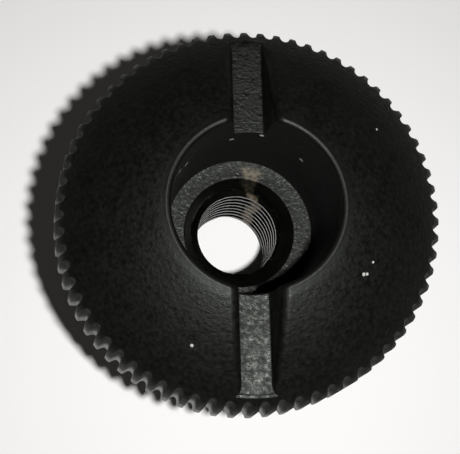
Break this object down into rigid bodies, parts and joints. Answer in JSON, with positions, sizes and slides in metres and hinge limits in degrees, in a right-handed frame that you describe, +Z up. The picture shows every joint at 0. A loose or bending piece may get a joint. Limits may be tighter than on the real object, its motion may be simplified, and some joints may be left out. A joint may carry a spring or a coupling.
{
  "type": "clamp nut",
  "caption": "Round clamp nut with a knurled rim, sloping face, deep central recess, a key slot across the face and a through thread in a plain hub.",
  "frame": {"origin": "centre of the hub's lower end, on the thread's axis", "axes": "+Z up the thread's axis, from the hub's end to the slotted face; the key slot runs along Y"},
  "size_m": [0.0304, 0.0304, 0.0243],
  "materials": {
    "black_moulding": "black, fine-grained, half matt, with a little dust"
  },
  "bodies": {
    "root": {"clamp_nut": "black_moulding"}
  },
  "joints": []
}
